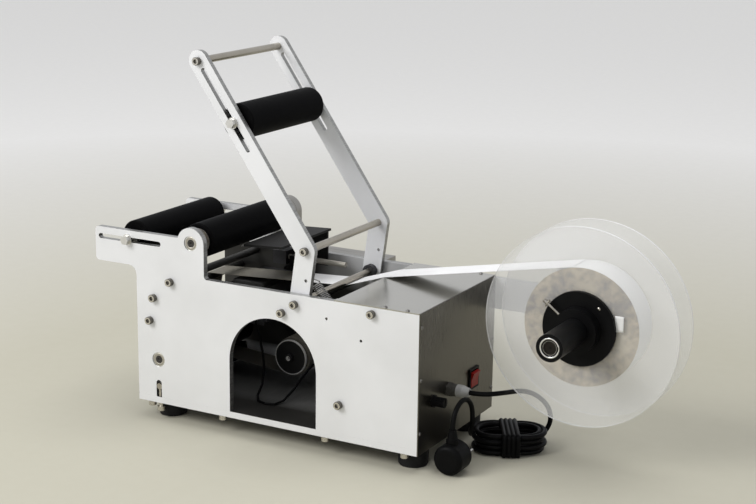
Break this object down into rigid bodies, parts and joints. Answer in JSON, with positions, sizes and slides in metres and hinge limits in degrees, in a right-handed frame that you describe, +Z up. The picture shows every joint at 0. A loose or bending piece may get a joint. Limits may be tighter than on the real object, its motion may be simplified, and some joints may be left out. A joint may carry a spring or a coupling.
{
  "type": "bottle labeling machine",
  "caption": "Desktop machine that rolls labels onto round bottles: flat side plates with slotted arms, rubber rollers, a sprung press arm and a side reel with clear discs.",
  "frame": {"origin": "under the middle of the machine's bounding box (mains cord left out), on the table", "axes": "+X along the machine towards the label reel, +Y from the operator to the back, +Z up"},
  "size_m": [0.7336, 0.2384, 0.474],
  "materials": {
    "plate_alu": "fine satin",
    "grey_sheet": "brushed",
    "black_rubber": "matte",
    "stainless": "bright",
    "steel_rod": "ground",
    "dark_metal": "black oxide",
    "bearing_steel": "polished",
    "pulley_alu": "machined",
    "black_plastic": "moulded",
    "white_paper": "paper",
    "beige_paper": "paper edges",
    "motor_black": "painted",
    "clear_acrylic": "clear",
    "red_plastic": "moulded",
    "grey_plastic": "moulded",
    "box_steel": "zinc",
    "black_cord": "flexible"
  },
  "bodies": {
    "frame": {"base_plate": "plate_alu", "front_side_plate": "plate_alu", "rear_side_plate": "plate_alu", "top_cover": "grey_sheet", "end_panel": "grey_sheet", "belt_cover": "grey_sheet", "rubber_feet": "black_rubber", "cap_screws": "stainless", "cover_screws": "stainless", "cross_rods": "steel_rod", "pivot_rod": "steel_rod", "pivot_collar": "dark_metal", "return_spring": "stainless", "shaft_bearings": "bearing_steel", "peel_plate": "stainless", "sensor_rail": "steel_rod", "pinch_axle": "steel_rod", "drive_motor": "motor_black", "drive_belts": "black_rubber", "reel_support_bar": "plate_alu", "reel_shaft": "steel_rod", "label_web": "white_paper", "switch_bezel": "black_plastic", "fuse_holder": "black_plastic", "cable_gland": "grey_plastic", "control_box": "box_steel", "motor_cable": "black_cord", "cord_lead": "black_cord", "cord_hank": "black_cord", "cord_tie": "black_cord", "plug_lead": "black_cord", "mains_plug": "black_cord"},
    "press_arm": {"front_press_arm": "plate_alu", "rear_press_arm": "plate_alu", "arm_rods": "steel_rod", "arm_screws": "stainless"},
    "press_carriage": {"press_axle": "steel_rod"},
    "press_roll": {"press_roller": "black_rubber"},
    "idle_carriage": {"idle_axle": "steel_rod"},
    "idle_roll": {"idle_roller": "black_rubber"},
    "drive_roll": {"drive_roller_shaft": "steel_rod", "drive_roller_sleeve": "black_rubber", "drive_roller_pulley": "pulley_alu"},
    "pull_roll": {"pull_roller_shaft": "steel_rod", "pull_roller_sleeve": "black_rubber", "pull_roller_pulley": "pulley_alu"},
    "pinch_roll": {"pinch_roller": "black_rubber"},
    "motor_rotor": {"motor_pulley": "pulley_alu"},
    "takeup": {"takeup_spool": "black_plastic", "takeup_pulley": "pulley_alu", "wound_liner": "white_paper"},
    "reel": {"reel_tube": "black_plastic", "reel_bearings": "bearing_steel", "rear_disc": "clear_acrylic", "label_roll": "beige_paper"},
    "reel_clamp": {"front_disc": "clear_acrylic", "reel_collar": "black_plastic", "collar_thumbscrew": "stainless"},
    "rocker": {"switch_rocker": "red_plastic"},
    "sensor": {"label_sensor": "black_plastic"}
  },
  "joints": [
    {"name": "arm_swing", "type": "hinge", "parent": "frame", "child": "press_arm", "pos_m": [-0.07075, -0.00925, 0.182], "axis": [0, -1, 0], "range_deg": [0, 40], "stiffness_Nm_per_rad": 1.2, "springref_deg": -57.3, "deforming": ["return_spring"]},
    {"name": "press_slide", "type": "slide", "parent": "press_arm", "child": "press_carriage", "axis": [-0.5736, 0, 0.8192], "range_m": [-0.026, 0.058]},
    {"name": "press_spin", "type": "hinge", "parent": "press_carriage", "child": "press_roll", "pos_m": [-0.16265, -0.00925, 0.39054], "axis": [0, 1, 0], "continuous": true},
    {"name": "idle_slide", "type": "slide", "parent": "frame", "child": "idle_carriage", "axis": [1, 0, 0], "range_m": [-0.041, 0.047]},
    {"name": "idle_spin", "type": "hinge", "parent": "idle_carriage", "child": "idle_roll", "pos_m": [-0.31675, -0.00925, 0.23], "axis": [0, 1, 0], "continuous": true},
    {"name": "drive_spin", "type": "hinge", "parent": "frame", "child": "drive_roll", "pos_m": [-0.22075, -0.00925, 0.237], "axis": [0, 1, 0], "continuous": true},
    {"name": "pull_spin", "type": "hinge", "parent": "frame", "child": "pull_roll", "pos_m": [-0.27225, -0.00925, 0.0795], "axis": [0, 1, 0], "continuous": true},
    {"name": "pinch_spin", "type": "hinge", "parent": "frame", "child": "pinch_roll", "pos_m": [-0.27225, -0.00925, 0.0438], "axis": [0, 1, 0], "continuous": true},
    {"name": "motor_spin", "type": "hinge", "parent": "frame", "child": "motor_rotor", "pos_m": [-0.21575, -0.00925, 0.134], "axis": [0, 1, 0], "continuous": true},
    {"name": "takeup_spin", "type": "hinge", "parent": "frame", "child": "takeup", "pos_m": [-0.14675, -0.00925, 0.072], "axis": [0, 1, 0], "continuous": true},
    {"name": "reel_spin", "type": "hinge", "parent": "frame", "child": "reel", "pos_m": [0.24625, -0.00925, 0.172], "axis": [0, 1, 0], "continuous": true},
    {"name": "collar_slide", "type": "slide", "parent": "reel", "child": "reel_clamp", "axis": [0, -1, 0], "range_m": [0, 0.07]},
    {"name": "rocker_tilt", "type": "hinge", "parent": "frame", "child": "rocker", "pos_m": [0.09675, 0.03425, 0.0775], "axis": [0, -1, 0], "range_deg": [0, 20]},
    {"name": "sensor_slide", "type": "slide", "parent": "frame", "child": "sensor", "axis": [1, 0, 0], "range_m": [-0.005, 0.048]}
  ],
  "couplings": [
    {"joint": "pull_spin", "follows": "drive_spin", "ratio": 1},
    {"joint": "pinch_spin", "follows": "drive_spin", "ratio": -1.76},
    {"joint": "motor_spin", "follows": "drive_spin", "ratio": 1.4},
    {"joint": "takeup_spin", "follows": "drive_spin", "ratio": 1.1667}
  ]
}
